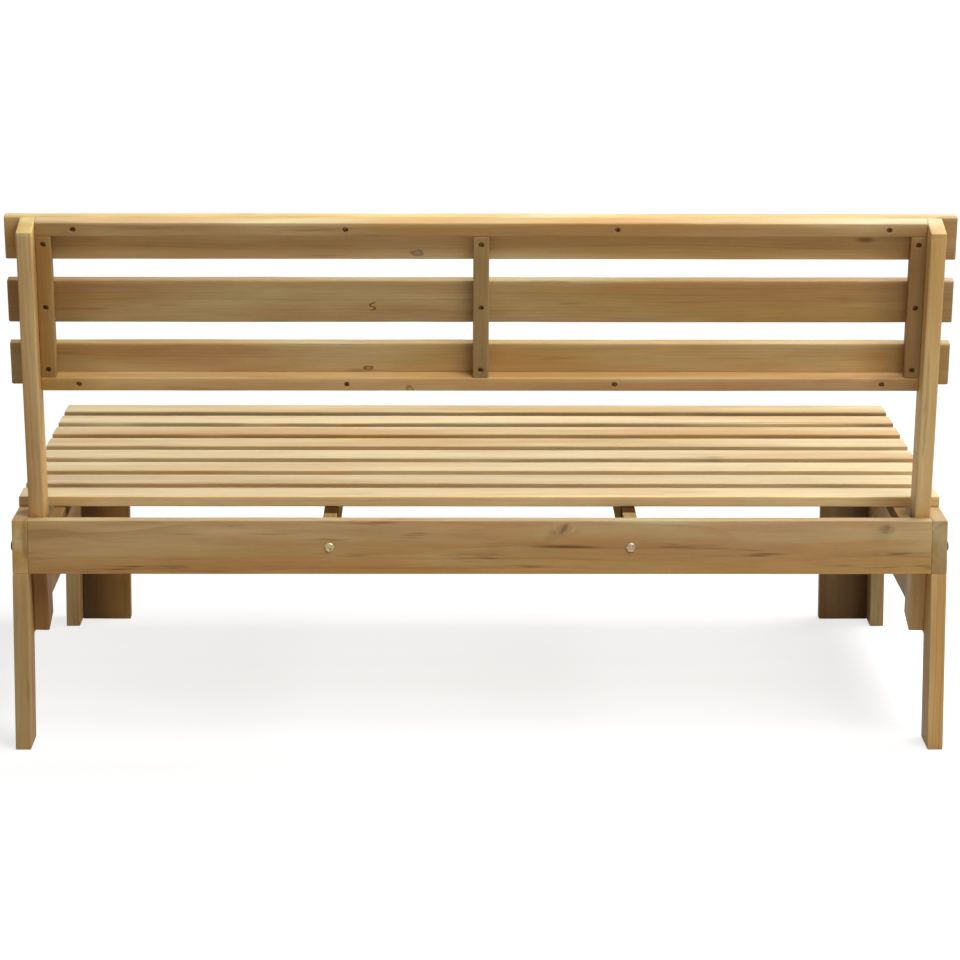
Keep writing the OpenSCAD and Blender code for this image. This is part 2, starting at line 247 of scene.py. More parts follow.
def makeGrain(wood):
    given = {
        "Vector": ["Vector", "Half Size", "Shift", "Pith", "Knot Place A", "Knot Place B"],
        "Float": ["Ring Width", "Heart", "Rose", "Tone", "Streaks", "Knot Size A", "Knot Size B",
                  "Knot Depth"],
    }
    made = {"Color": ["Color"], "Float": ["Roughness", "Height"], "Vector": ["Flow"]}
    tree, given, made = newTree("acaciaGrain", "ShaderNodeTree", given, made)
    place = given["Vector"]
    own = vectorCalc(tree, "ADD", place, given["Shift"])
    stray = vectorCalc(tree, "MULTIPLY", centredNoise(tree, own, wood["drifts"]), wood["wander"])
    flow = vectorCalc(tree, "ADD", place, stray)
    core, push = addKnots(tree, wood, given, flow, own)
    ring = addRings(tree, wood, given, flow, own, push)

    # Broad zones, thin mineral streaks, fibres, pores, soft patches, and the edges' painted highlight with
    # wear
    zone = ease(tree, noise(tree, own, wood["zones"], 3.0)[0], 0.36, 0.66)
    tint = ease(tree, noise(tree, own, wood["tints"])[0], 0.42, 0.64)
    streak = ease(tree, noise(tree, own, wood["streaks"], 3.0, 0.6)[0], 0.55, 0.74)
    patch = ease(tree, noise(tree, own, wood["streakPatches"], 1.0)[0], 0.42, 0.62)
    streak = times(tree, streak, patch, given["Streaks"])
    fibre = noise(tree, own, wood["fibres"], 3.0, 0.62)[0]
    fibreSwing = calc(tree, "SUBTRACT", fibre, 0.5)
    pore = ease(tree, noise(tree, own, wood["pores"], 1.0)[0], 0.66, 0.76)
    mottle = calc(tree, "SUBTRACT", noise(tree, own, wood["mottles"], 3.0, 0.6)[0], 0.5)
    wearAndHighlight = addWearAndHighlight(tree, wood, given, place, fibre)

    # The colour, made darker or lighter by each of them, and the knots over it
    heart = scale(tree, calc(tree, "SUBTRACT", zone, 0.5), 0.8, given["Heart"])
    colour = mixColour(tree, heart, wood["pale"], wood["honey"])
    colour = mixColour(tree, times(tree, tint, given["Rose"]), colour, wood["rose"])
    colour = mixColour(tree, times(tree, ring, wood["ringDepth"]), colour, wood["brown"])
    colour = mixColour(tree, streak, colour, wood["brown"])
    light = scale(tree, fibreSwing, wood["fibreDepth"] * 2, 1.0)
    light = scale(tree, pore, -wood["poreDepth"], light)
    light = scale(tree, mottle, wood["mottleDepth"] * 2, light)
    light = scale(tree, wearAndHighlight, wood["wearAndHighlightDepth"], light)
    light = times(tree, light, given["Tone"])
    colour = scaleVector(tree, colour, light)
    colour = mixColour(tree, times(tree, core, given["Knot Depth"]), colour, wood["knot"])

    # Late wood is smoother and stands up, and pores are pits
    rough = scale(tree, fibreSwing, 0.3, wood["roughness"])
    rough = scale(tree, ring, -0.06, rough)
    high = scale(tree, ring, 0.35, times(tree, fibre, 0.8))
    high = scale(tree, pore, -0.6, high)
    for label, socket in (("Color", colour), ("Roughness", rough), ("Height", high), ("Flow", flow)):
        tree.links.new(socket, made[label])
    return tree


grain = makeGrain(acacia)


def stainAndLightPatch(place, size, tint, lean=0.0, soft=0.5):  # a patch that tints the wood, for real stains and for painted light and shade, sizes in mm
    return {"place": [c * mm for c in place], "size": [c * mm for c in size], "tint": tint + (1.0,),
            "lean": lean, "soft": soft}


def addStainAndLightPatch(tree, colour, flow, patch):
    away = splitVector(tree, vectorCalc(tree, "SUBTRACT", flow, patch["place"]))
    lean = scale(tree, away[1], patch["lean"], away[0])
    inSizes = vectorCalc(tree, "DIVIDE", joinVector(tree, lean, away[1], away[2]), patch["size"])
    far = vectorCalc(tree, "LENGTH", inSizes)
    mask = ease(tree, far, 1.0 - patch["soft"], 1.0 + patch["soft"], 1.0, 0.0)
    return mixColour(tree, mask, colour, patch["tint"], "MULTIPLY")


def addTrack(tree, colour, place, track):  # the small winding track of a beetle's grub
    away = vectorCalc(tree, "SUBTRACT", place, track["place"])
    away = splitVector(tree, scaleVector(tree, away, 1.0 / track["size"]))
    angle = scale(tree, away[1], track["bends"], track["start"])
    wave = times(tree, calc(tree, "SINE", angle), track["swing"])
    slope = times(tree, calc(tree, "COSINE", angle), track["swing"] * track["bends"])
    slope = calc(tree, "SQRT", calc(tree, "MULTIPLY_ADD", slope, slope, 1.0))
    off = calc(tree, "DIVIDE", calc(tree, "ABSOLUTE", calc(tree, "SUBTRACT", away[0], wave)), slope)
    mask = ease(tree, off, track["width"] * 0.5, track["width"] * 1.5, 1.0, 0.0)
    for i, reach in ((1, 1.0), (2, track["through"])):
        end = ease(tree, calc(tree, "ABSOLUTE", away[i]), reach * 0.9, reach * 1.1, 1.0, 0.0)
        mask = times(tree, mask, end)
    return mixColour(tree, times(tree, mask, track["depth"]), colour, acacia["knot"])


def makeWood(name, board, look):  # the finish of one board, cut from its own place in the trunk
    material, tree = newMaterial(name)
    shader = tree.nodes["Principled BSDF"]
    place = tree.nodes.new("ShaderNodeTexCoord").outputs["Object"]
    place = addNode(tree, "ShaderNodeMapping", {
        "Vector": place, "Location": board["place"].to_translation(), "Rotation": board["place"].to_euler(),
    }, vector_type="TEXTURE").outputs[0]
    inputs = {"Vector": place, "Half Size": board["size"] / 2, **look["grain"]}
    wood = addNode(tree, "ShaderNodeGroup", inputs, node_tree=grain).outputs
    bump = addNode(tree, "ShaderNodeBump", {
        "Strength": acacia["bump"], "Distance": acacia["bumpHeight"], "Height": wood["Height"],
    })
    colour = wood["Color"]
    for patch in look["stainsAndLight"]:
        colour = addStainAndLightPatch(tree, colour, wood["Flow"], patch)
    for track in look["tracks"]:
        colour = addTrack(tree, colour, place, track)
    tree.links.new(colour, shader.inputs["Base Color"])
    tree.links.new(wood["Roughness"], shader.inputs["Roughness"])
    tree.links.new(bump.outputs[0], shader.inputs["Normal"])
    shader.inputs["Specular IOR Level"].default_value = look["gloss"]
    return material


plating = {
    "clouds": (260.0, 260.0, 260.0),  # patches to the metre of its mottle
    "middle": 0.1,  # metres each way of the bench's middle within which the steel turns yellow
    "sides": (0.66, 0.70),  # beyond these a painted shade makes it darker
    "bump": 0.15,
    "bumpHeight": 0.05 * mm,
}


def makeSteel(name, steel):  # zinc-plated steel, a little mottled, yellower to one side of the bench, with painted shade towards the bench's ends
    material, tree = newMaterial(name)
    shader = tree.nodes["Principled BSDF"]
    place = tree.nodes.new("ShaderNodeTexCoord").outputs["Object"]
    cloud = noise(tree, place, plating["clouds"], 3.0)[0]
    across = splitVector(tree, place)[0]
    yellow = ease(tree, across, -plating["middle"], plating["middle"])
    light = mixColour(tree, yellow, steel["light"], steel["yellow"])
    colour = mixColour(tree, ease(tree, cloud, 0.35, 0.65), steel["dark"], light)
    # painted shade: the steel near the bench's ends is darker
    beyond = ease(tree, calc(tree, "ABSOLUTE", across), *plating["sides"])
    colour = mixColour(tree, beyond, colour, steel["sides"])
    tree.links.new(colour, shader.inputs["Base Color"])
    tree.links.new(ease(tree, cloud, 0.3, 0.7, steel["dull"], steel["glossy"]), shader.inputs["Roughness"])
    shader.inputs["Metallic"].default_value = 1.0
    sizes = {"Strength": plating["bump"], "Distance": plating["bumpHeight"], "Height": cloud}
    tree.links.new(addNode(tree, "ShaderNodeBump", sizes).outputs[0], shader.inputs["Normal"])
    return material


steels = {
    "bolt_steel": makeSteel("zincPlate", {
        "dark": shade(184, 160, 124), "light": shade(250, 216, 188), "yellow": shade(248, 236, 176),
        "sides": shade(100, 88, 68), "dull": 0.42, "glossy": 0.28,
    }),
    # painted shade: the screws' zinc is dark brown to stand for the shade in their holes
    "screw_steel": makeSteel("screwZinc", {
        "dark": shade(74, 48, 27), "light": shade(138, 104, 70), "yellow": shade(134, 104, 66),
        "sides": shade(92, 62, 38), "dull": 0.50, "glossy": 0.34,
    }),
}
print("bench: finishes ready")


# Places of the fasteners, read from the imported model

def islandsOf(node):  # the separate solids of a node, as arrays of points
    loose = bmesh.new()
    loose.from_mesh(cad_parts[node].data)
    bmesh.ops.remove_doubles(loose, verts=loose.verts, dist=0.001 * mm)
    loose.verts.index_update()
    seen = set()
    for first in loose.verts:
        if first.index in seen:
            continue
        seen.add(first.index)
        patch = [first]
        for vert in patch:
            for edge in vert.link_edges:
                other = edge.other_vert(vert)
                if other.index not in seen:
                    seen.add(other.index)
                    patch.append(other)
        yield np.array([vert.co[:] for vert in patch])
    loose.free()


def fastenersOf(node, flat=False):  # head, axis, length and width of each fastener of a node
    found = []
    for points in islandsOf(node):
        middle = points.mean(0)
        turn = np.linalg.eigh(np.cov((points - middle).T))[1]
        own = (points - middle) @ turn
        extent = own.max(0) - own.min(0)
        along = int(extent.argmin() if flat else extent.argmax())
        centre = middle + turn @ ((own.max(0) + own.min(0)) / 2)
        axis = turn[:, along]
        depth = (points - centre) @ axis
        off = np.linalg.norm(points - centre - np.outer(depth, axis), axis=1)
        if off[depth < 0].max() < off[depth > 0].max() * 0.99:  # the head is the wide end
            axis = -axis
        length = float(extent[along])
        found.append({
            "head": Vector(centre - axis * length / 2), "axis": Vector(axis), "length": length,
            "width": float(off.max() * 2), "centre": Vector(centre),
        })
    return found


backScrews = fastenersOf("back_screws")
seatScrews = fastenersOf("seat_screws")
panelScrews = fastenersOf("panel_screws")
frameBolts = fastenersOf("frame_bolts")
barrelNuts = fastenersOf("barrel_nuts")
postWashers = fastenersOf("post_washers", flat=True)
postNuts = fastenersOf("post_nuts", flat=True)
for nut in barrelNuts:  # each lies in a hole that opens towards the middle of the bench
    if nut["axis"].dot(nut["centre"]) < 0:
        nut["axis"] = -nut["axis"]
        nut["head"] = nut["centre"] - nut["axis"] * nut["length"] / 2
backTilt = -math.atan2(abs(backScrews[0]["axis"].z), abs(backScrews[0]["axis"].y))
print("bench: the back leans by", round(math.degrees(-backTilt), 2), "degrees")


# Boards: a block with rounded, hand-sanded edges that a tree of nodes bends a little

boardMesh = {
    "step": 0.03,  # metres between points along the board
    "fewest": 12,
    "widthSteps": 10,
    "edgeSteps": 3,  # round each sanded edge
    "sharp": math.radians(32),  # corners steeper than this stay sharp
}


def spreadAxis(tree, place, segments, half, radius, steps):  # even steps that crowd near the two ends
    along = times(tree, place, segments)
    inner = calc(tree, "SUBTRACT", times(tree, segments, 0.5), steps)
    far = calc(tree, "ABSOLUTE", along)
    flat = calc(tree, "DIVIDE", calc(tree, "MINIMUM", far, inner), inner)
    curl = calc(tree, "DIVIDE", calc(tree, "MAXIMUM", calc(tree, "SUBTRACT", far, inner), 0.0), steps)
    reach = times(tree, flat, calc(tree, "SUBTRACT", half, radius))
    reach = calc(tree, "MULTIPLY_ADD", curl, radius, reach)
    return times(tree, reach, calc(tree, "SIGN", along))


def finishMesh(tree, mesh, material):  # smooth shading that keeps the true corners, and the material
    smooth = addNode(tree, "GeometryNodeSetShadeSmooth", {"Geometry": mesh})
    angle = tree.nodes.new("GeometryNodeInputMeshEdgeAngle").outputs["Unsigned Angle"]
    sharp = addNode(tree, "FunctionNodeCompare", {0: angle, 1: boardMesh["sharp"]}, operation="GREATER_THAN")
    corners = {"Geometry": smooth.outputs[0], "Selection": sharp.outputs[0], "Shade Smooth": False}
    corners = addNode(tree, "GeometryNodeSetShadeSmooth", corners, domain="EDGE").outputs[0]
    real = addNode(tree, "GeometryNodeRealizeInstances", {"Geometry": corners}).outputs[0]
    return addNode(tree, "GeometryNodeSetMaterial", {"Geometry": real, "Material": material}).outputs[0]


def makeBoardTree():
    tree, given, made = newShape(
        "acaciaBoard", Float=["Length", "Width", "Thickness", "Edge Radius", "Bow", "Seed"],
        Int=["Length Steps", "Width Steps", "Edge Steps"],
    )
    counts = [given["Length Steps"], given["Width Steps"], given["Width Steps"]]
    corners = {"Size": (1.0, 1.0, 1.0)}
    for name, count in zip("XYZ", counts):
        corners["Vertices " + name] = calc(tree, "ADD", count, 1.0)
    block = addNode(tree, "GeometryNodeMeshCube", corners).outputs["Mesh"]
    place = splitVector(tree, tree.nodes.new("GeometryNodeInputPosition").outputs[0])
    seed = scaleVector(tree, (7.3, 3.1, 5.7), given["Seed"])  # each seed's own place in the noise

    # The radius of the sanded edges differs from edge to edge and along each
    side = joinVector(tree, times(tree, place[0], given["Length"]),
                      calc(tree, "SIGN", place[1]), calc(tree, "SIGN", place[2]))
    hand = noise(tree, vectorCalc(tree, "ADD", side, seed), (9.0, 4.1, 2.3))[0]
    radius = times(tree, given["Edge Radius"], ease(tree, hand, 0.25, 0.75, 0.7, 1.3))
    halves = [times(tree, given[name], 0.5) for name in ("Length", "Width", "Thickness")]
    steps = given["Edge Steps"]
    grid = joinVector(tree, *[
        spreadAxis(tree, place[i], counts[i], halves[i], radius, steps) for i in range(3)
    ])

    # Past the flat faces each point lies on a ball of that radius
    core = vectorCalc(tree, "SUBTRACT", joinVector(tree, *halves), joinVector(tree, radius, radius, radius))
    inner = vectorCalc(tree, "MINIMUM", grid, core)
    inner = vectorCalc(tree, "MAXIMUM", inner, scaleVector(tree, core, -1.0))
    out = vectorCalc(tree, "NORMALIZE", vectorCalc(tree, "SUBTRACT", grid, inner))
    shape = vectorCalc(tree, "ADD", inner, scaleVector(tree, out, radius))
    bow = centredNoise(tree, vectorCalc(tree, "ADD", shape, seed), (3.5, 12.0, 12.0))
    bow = vectorCalc(tree, "MULTIPLY", bow, (0.0, 2.0, 2.0))
    shape = vectorCalc(tree, "ADD", shape, scaleVector(tree, bow, given["Bow"]))
    board = addNode(tree, "GeometryNodeSetPosition", {"Geometry": block, "Position": shape}).outputs[0]
    tree.links.new(board, made["Geometry"])
    return tree


def lathe(tree, rings, sides):  # a closed solid of revolution about Z, from (radius, height) pairs
    parts = {"Vertices": sides, "Side Segments": len(rings) - 1, "Radius": 1.0, "Depth": 1.0}
    tube = addNode(tree, "GeometryNodeMeshCylinder", parts).outputs["Mesh"]
    place = splitVector(tree, tree.nodes.new("GeometryNodeInputPosition").outputs[0])
    level = times(tree, calc(tree, "ADD", place[2], 0.5), len(rings) - 1)
    number = calc(tree, "ROUND", level)
    picks = []
    for column in range(2):
        pick = addNode(tree, "GeometryNodeIndexSwitch", data_type="FLOAT")
        while len(pick.index_switch_items) < len(rings):
            pick.index_switch_items.new()
        tree.links.new(number, pick.inputs["Index"])
        for i, ring in enumerate(rings):
            if isinstance(ring[column], bpy.types.NodeSocket):
                tree.links.new(ring[column], pick.inputs[i + 1])
            else:
                pick.inputs[i + 1].default_value = ring[column]
        picks.append(pick.outputs[0])
    shape = joinVector(tree, times(tree, place[0], picks[0]),
                       times(tree, place[1], picks[0]), picks[1])
    return addNode(tree, "GeometryNodeSetPosition", {"Geometry": tube, "Position": shape}).outputs[0]


def cutAway(tree, mesh, cutter):
    boolean = addNode(tree, "GeometryNodeMeshBoolean", operation="DIFFERENCE", solver="EXACT")
    tree.links.new(mesh, boolean.inputs["Mesh 1"])
    tree.links.new(cutter, boolean.inputs["Mesh 2"])
    return boolean.outputs["Mesh"]


def scatter(tree, points, solid):  # one solid on each point, along its axis and turned about it
    axis, across = [
        addNode(tree, "GeometryNodeInputNamedAttribute", {"Name": name}, data_type="FLOAT_VECTOR").outputs[0]
        for name in ("axis", "across")
    ]
    stand = addNode(tree, "FunctionNodeAlignRotationToVector", {"Vector": axis}, axis="Z").outputs[0]
    turned = {"Rotation": stand, "Vector": across}
    turn = addNode(tree, "FunctionNodeAlignRotationToVector", turned, axis="X", pivot_axis="Z").outputs[0]
    placed = {"Points": points, "Instance": solid, "Rotation": turn}
    return addNode(tree, "GeometryNodeInstanceOnPoints", placed).outputs[0]


hole = {
    "play": 1.4 * mm,  # how much wider it is than the head in it
    "bevel": 0.5 * mm,
    "over": 1.0 * mm,  # how far the cutters stand out of the wood
    "sides": 28,
}


def makeDrillTree():
    sizes = ["Hole Width", "Hole Depth", "Bevel"]
    tree, given, made = newShape("drilledHoles", Geometry=["Geometry"], Object=["Holes"], Float=sizes)
    bore = times(tree, given["Hole Width"], 0.5)
    mouth = calc(tree, "ADD", calc(tree, "ADD", bore, given["Bevel"]), hole["over"])
    rings = [(mouth, -hole["over"]), (bore, given["Bevel"]), (bore, given["Hole Depth"])]
    cutter = lathe(tree, rings, hole["sides"])
    points = addNode(tree, "GeometryNodeObjectInfo", {"Object": given["Holes"]}).outputs["Geometry"]
    cutters = addNode(tree, "GeometryNodeRealizeInstances", {"Geometry": scatter(tree, points, cutter)})
    tree.links.new(cutAway(tree, given["Geometry"], cutters.outputs[0]), made["Geometry"])
    return tree


def makeOilTree():
    tree, given, made = newShape("oiledBoard", Geometry=["Geometry"], Material=["Material"])
    tree.links.new(finishMesh(tree, given["Geometry"], given["Material"]), made["Geometry"])
    return tree


boardTree = makeBoardTree()
drillTree = makeDrillTree()
oilTree = makeOilTree()


def newPiece(name, mesh):
    piece = bpy.data.objects.new(name, mesh)
    bpy.context.scene.collection.objects.link(piece)
    return piece


def addModifier(piece, tree, sizes):
    modifier = piece.modifiers.new(tree.name, "NODES")
    modifier.node_group = tree
    sockets = {s.name: s.identifier for s in tree.interface.items_tree if s.in_out == "INPUT"}
    for name, value in sizes.items():
        modifier[sockets[name]] = value


def pointsObject(name, places):  # points that carry their axis and the direction across it
    mesh = bpy.data.meshes.new(name)
    mesh.from_pydata([p["head"] for p in places], [], [])
    for key in ("axis", "across"):
        attribute = mesh.attributes.new(key, "FLOAT_VECTOR", "POINT")
        attribute.data.foreach_set("vector", [c for p in places for c in p[key]])
    return newPiece(name, mesh)


def bake(piece, place=None):  # the evaluated nodes become a plain mesh at its place
    evaluated = piece.evaluated_get(bpy.context.evaluated_depsgraph_get())
    mesh = bpy.data.meshes.new_from_object(evaluated)
    piece.modifiers.clear()
    if place:
        mesh.transform(place)
    mesh.name = piece.name
    for spare in [a.name for a in mesh.attributes if a.name in ("axis", "across")]:
        mesh.attributes.remove(mesh.attributes[spare])
    piece.data = mesh


def boardOf(node, tilt=0.0):  # size and place of a board, its grain along local X
    turn = Matrix.Rotation(tilt, 4, "X")
    back = turn.inverted()
    points = np.array([(back @ v.co)[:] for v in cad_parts[node].data.vertices])
    low, high = points.min(0), points.max(0)
    sizes = high - low
    order = sorted(range(3), key=lambda i: (-round(sizes[i], 4), i))
    axes = [Vector([float(k == i) for k in range(3)]) for i in order]
    axes[2] = axes[0].cross(axes[1])
    local = Matrix(axes).transposed().to_4x4()
    place = turn @ Matrix.Translation((low + high) / 2) @ local
    return {"node": node, "size": Vector([sizes[i] for i in order]), "place": place}


def holesIn(board, fasteners, reach):  # mouths and depth of the holes that a board has for them
    back = board["place"].inverted()
    half = board["size"] / 2
    holes = []
    depth = 0.0
    for fastener in fasteners:
        point = back @ fastener["head"]
        if any(abs(point[i]) > half[i] for i in range(3)):
            continue
        axis = (back.to_3x3() @ fastener["axis"]).normalized()
        side = max(range(3), key=lambda i: abs(axis[i]))
        run = (half[side] + math.copysign(1.0, axis[side]) * point[side]) / abs(axis[side])
        holes.append({"head": point - axis * run, "axis": axis, "across": axis.orthogonal()})
        depth = max(depth, run + reach)
    return holes, depth


def makeBoard(board, look):
    name = board["node"]
    size = board["size"]
    piece = newPiece(name, bpy.data.meshes.new(name))
    addModifier(piece, boardTree, {
        "Length": size[0], "Width": size[1], "Thickness": size[2], "Edge Radius": look["edge"],
        "Bow": look["bow"], "Seed": look["seed"],
        "Length Steps": max(boardMesh["fewest"], round(size[0] / boardMesh["step"])),
        "Width Steps": boardMesh["widthSteps"], "Edge Steps": boardMesh["edgeSteps"],
    })
    drills = []
    for fasteners, width, reach in look["holes"]:
        holes, depth = holesIn(board, fasteners, reach)
        if holes:
            drills.append(pointsObject(name + "Holes", holes))
            addModifier(piece, drillTree, {
                "Holes": drills[-1], "Hole Width": width + hole["play"], "Hole Depth": depth,
                "Bevel": hole["bevel"],
            })
    addModifier(piece, oilTree, {"Material": makeWood(name + "Wood", board, look)})
    bake(piece, board["place"])
    for drill in drills:
        bpy.data.objects.remove(drill)
    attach(piece, "root")
    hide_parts(board["node"])


# How each kind of board is cut. Colours run from pale (heart 0) to honey (heart 1).

screwHeadHeight = 2.5 * mm
screwHoles = [
    (screws, backScrews[0]["width"], screwHeadHeight) for screws in (backScrews, panelScrews, seatScrews)
]
nutHoles = [(barrelNuts, barrelNuts[0]["width"], barrelNuts[0]["length"])]

seatSlats = {
    "edge": 2.2 * mm, "bow": 0.35 * mm, "gloss": 0.5, "streaks": 0.25,
    "hearts": [0.45, 0.15, 0.52, 0.50, 0.20, 0.14, 0.08, 0.05],  # front to rear
    "roses": [0.05, 0.10, 0.0, 0.10, 0.10, 0.0, 0.15, 0.10],
    "tones": [0.96, 1.0, 0.94, 0.98, 0.98, 1.0, 1.0, 1.03],
    "rearFaceLights": [0.5, 0.6, 0.75, 0.85, 0.9, 1.1, 1.05, 1.1],  # painted light and shade on each slat's rear face: dark in the narrow gaps at the front, lighter on the open last slats
}
backSlats = {"edge": 2.8 * mm, "bow": 0.35 * mm, "gloss": 0.3}
backPanel = {"edge": 2.0 * mm, "bow": 0.3 * mm, "gloss": 0.25}
posts = {"edge": 2.8 * mm, "bow": 0.3 * mm, "gloss": 0.3}
frameBoards = {"edge": 1.8 * mm, "bow": 0.3 * mm, "gloss": 0.25}
innerBoards = {"edge": 1.5 * mm, "bow": 0.4 * mm, "gloss": 0.0}
noKnot = (9000, 0, 0, 10)  # a knot's place and size in mm, here far off the board


def cut(kind, seed, heart, rose, streaks=0.4, tone=1.0, pith=None, ringWidth=5.0, knots=(), knotDepth=0.75,
        stainsAndLight=(), tracks=(), holes=()):
    draw = random.Random(seed)
    if pith is None:  # flat or quarter sawn, by chance
        angle = draw.uniform(0.2, math.pi - 0.2)
        far = draw.uniform(0.05, 0.14)
        pith = (far * math.cos(angle), far * math.sin(angle))
    inputs = {
        "Shift": [draw.uniform(-20, 20) for _ in range(3)], "Pith": (0.0, *pith),
        "Ring Width": ringWidth * mm, "Heart": heart, "Rose": rose, "Streaks": streaks, "Tone": tone,
        "Knot Depth": knotDepth,
    }
    for letter, knot in zip("AB", [*knots, noKnot, noKnot]):
        inputs["Knot Place " + letter] = [c * mm for c in knot[:3]]
        inputs["Knot Size " + letter] = knot[3] * mm
    return dict(kind, seed=float(seed), grain=inputs, stainsAndLight=stainsAndLight, tracks=tracks, holes=holes)


# Stains and painted light and shade, in mm from the board's middle: along it, across it and through it

endless, wide, through = 5000, 200, 60  # beyond the ends, edges and faces of the boards
frameLong = 3000  # beyond the ends of the frame's boards
seatRear = 36  # the rear edge of a seat slat
backTop = 37  # the top edge of a back slat
slatRear = -11  # just behind a back slat's rear face
slatEnd = 745
postPlace = 675  # painted shade darkens the rear faces beside the posts
railTop = railRear = 12.5
boardRear = -12.5  # the rear face of the apron
bothSides = (-1, 1)


def allOver(tint):
    return stainAndLightPatch((0, 0, 0), (endless, endless, endless), tint)


def band(across, deep, width, thickness, tint, soft=0.3, long=endless):  # from end to end of a board
    return stainAndLightPatch((0, across, deep), (long, width, thickness), tint, soft=soft)


def halfTone(side, tint):  # one half of a seat slat
    return stainAndLightPatch((side * 400, 0, 0), (420, wide, through), tint, soft=0.4)


def redStreak(along, long, tint):  # on the rear edge of a seat slat
    return stainAndLightPatch((along, seatRear, 0), (long, 6, 7), tint)


def slatTipShade(side, tint):  # painted shade on the end of a back slat, on its rear face
    return stainAndLightPatch((side * slatEnd, 0, slatRear), (30, wide, 9), tint, soft=0.3)


def postTop(tint):  # the sawn end of a post
    return stainAndLightPatch((350, 0, 0), (5, wide, wide), tint, soft=0.4)


seatMarks = {  # red streaks, a grey smudge, paler or darker lengths, and painted shade on the last slat's rear edge beside the posts, by slat
    1: [halfTone(-1, (0.98, 1.04, 1.09))],
    2: [redStreak(347, 22, (1.10, 0.72, 0.60)), redStreak(222, 34, (1.10, 0.74, 0.62))],
    4: [halfTone(-1, (0.96, 1.00, 1.02))],
    5: [
        stainAndLightPatch((-402, 30, 8), (16, 9, 9), (0.66, 0.70, 0.62), soft=0.8),
        halfTone(-1, (0.94, 0.96, 0.99)),
    ],
    6: [
        redStreak(480, 64, (1.08, 0.82, 0.72)), redStreak(245, 34, (1.06, 0.86, 0.80)),
        halfTone(1, (1.04, 1.08, 1.10)),
    ],
    # painted shade on the rear edge of the last slat, beside each post
    8: [stainAndLightPatch((side * 710, seatRear, 0), (80, 5, 12), (0.78, 0.75, 0.66), soft=0.4) for side in bothSides],
}
for number in range(1, 9):
    board = boardOf(f"seat_slat_{number}")
    heart, rose, tone, rearLight = [
        seatSlats[key][number - 1] for key in ("hearts", "roses", "tones", "rearFaceLights")
    ]
    # painted light and shade along the slat's rear face
    paintedRearFace = band(board["size"][1] / 2 / mm, 0, 3.5, through, (rearLight, rearLight * 0.95, rearLight * 0.9))
    marks = [paintedRearFace] + seatMarks.get(number, [])
    look = cut(seatSlats, number, heart, rose, seatSlats["streaks"], tone, stainsAndLight=marks)
    makeBoard(board, look)
print("bench: seat slats")

grubTrack = {
    "place": (172 * mm, -8 * mm, -9 * mm), "size": 7.2 * mm, "swing": 0.6, "bends": 3.9, "start": 0.3,
    "width": 0.16, "through": 0.4, "depth": 0.85,
}
darkKnot = stainAndLightPatch((-606, 0, -9), (13, 4, through), (0.50, 0.40, 0.34), soft=0.7)

# Painted highlights on the top edges of the slats and the top faces of the rails, from end to end or on the
# right
paintedEdgeHighlight = band(backTop, 0, 4.5, through, (1.06, 1.23, 1.44))
edgeHighlightWarmth = band(backTop, 0, 4.5, through, (0.99, 0.99, 0.86))
paintedRightEdgeHighlight = stainAndLightPatch((-375, backTop, 0), (400, 4.5, through), (0.97, 1.09, 1.38), soft=0.3)
paintedTopHighlight = band(0, railTop, through, 3.5, (1.00, 1.06, 1.16))
paintedRightTopHighlight = stainAndLightPatch((-375, 0, railTop), (400, through, 3.5), (1.00, 1.07, 1.20), soft=0.3)

# Painted shade on the rear faces, beside the posts and beyond them
paintedPostShade = [
    stainAndLightPatch((side * postPlace, 0, slatRear), (50, wide, 9), (0.80, 0.77, 0.70), soft=0.7)
    for side in bothSides
]
paintedRailEndShade = [
    stainAndLightPatch((side * postPlace, 12, 0), (50, 9, wide), (0.78, 0.74, 0.65), soft=0.7) for side in bothSides
]
topEndLightAndShade = paintedPostShade + [slatTipShade(-1, (0.62, 0.62, 0.62)), slatTipShade(1, (0.86, 0.80, 0.64)), paintedRightEdgeHighlight]
lowerEndShades = paintedPostShade + [slatTipShade(-1, (0.80, 0.88, 1.06))]
# painted light on the rails' top faces and painted shade on their rear faces
railLightAndShade = [paintedTopHighlight, band(railRear, -14, 10, 22, (0.78, 0.70, 0.66))]
lowRailLightAndShade = [paintedTopHighlight, stainAndLightPatch((-400, railRear, -14), (420, 10, 22), (0.82, 0.76, 0.74), soft=0.3)]
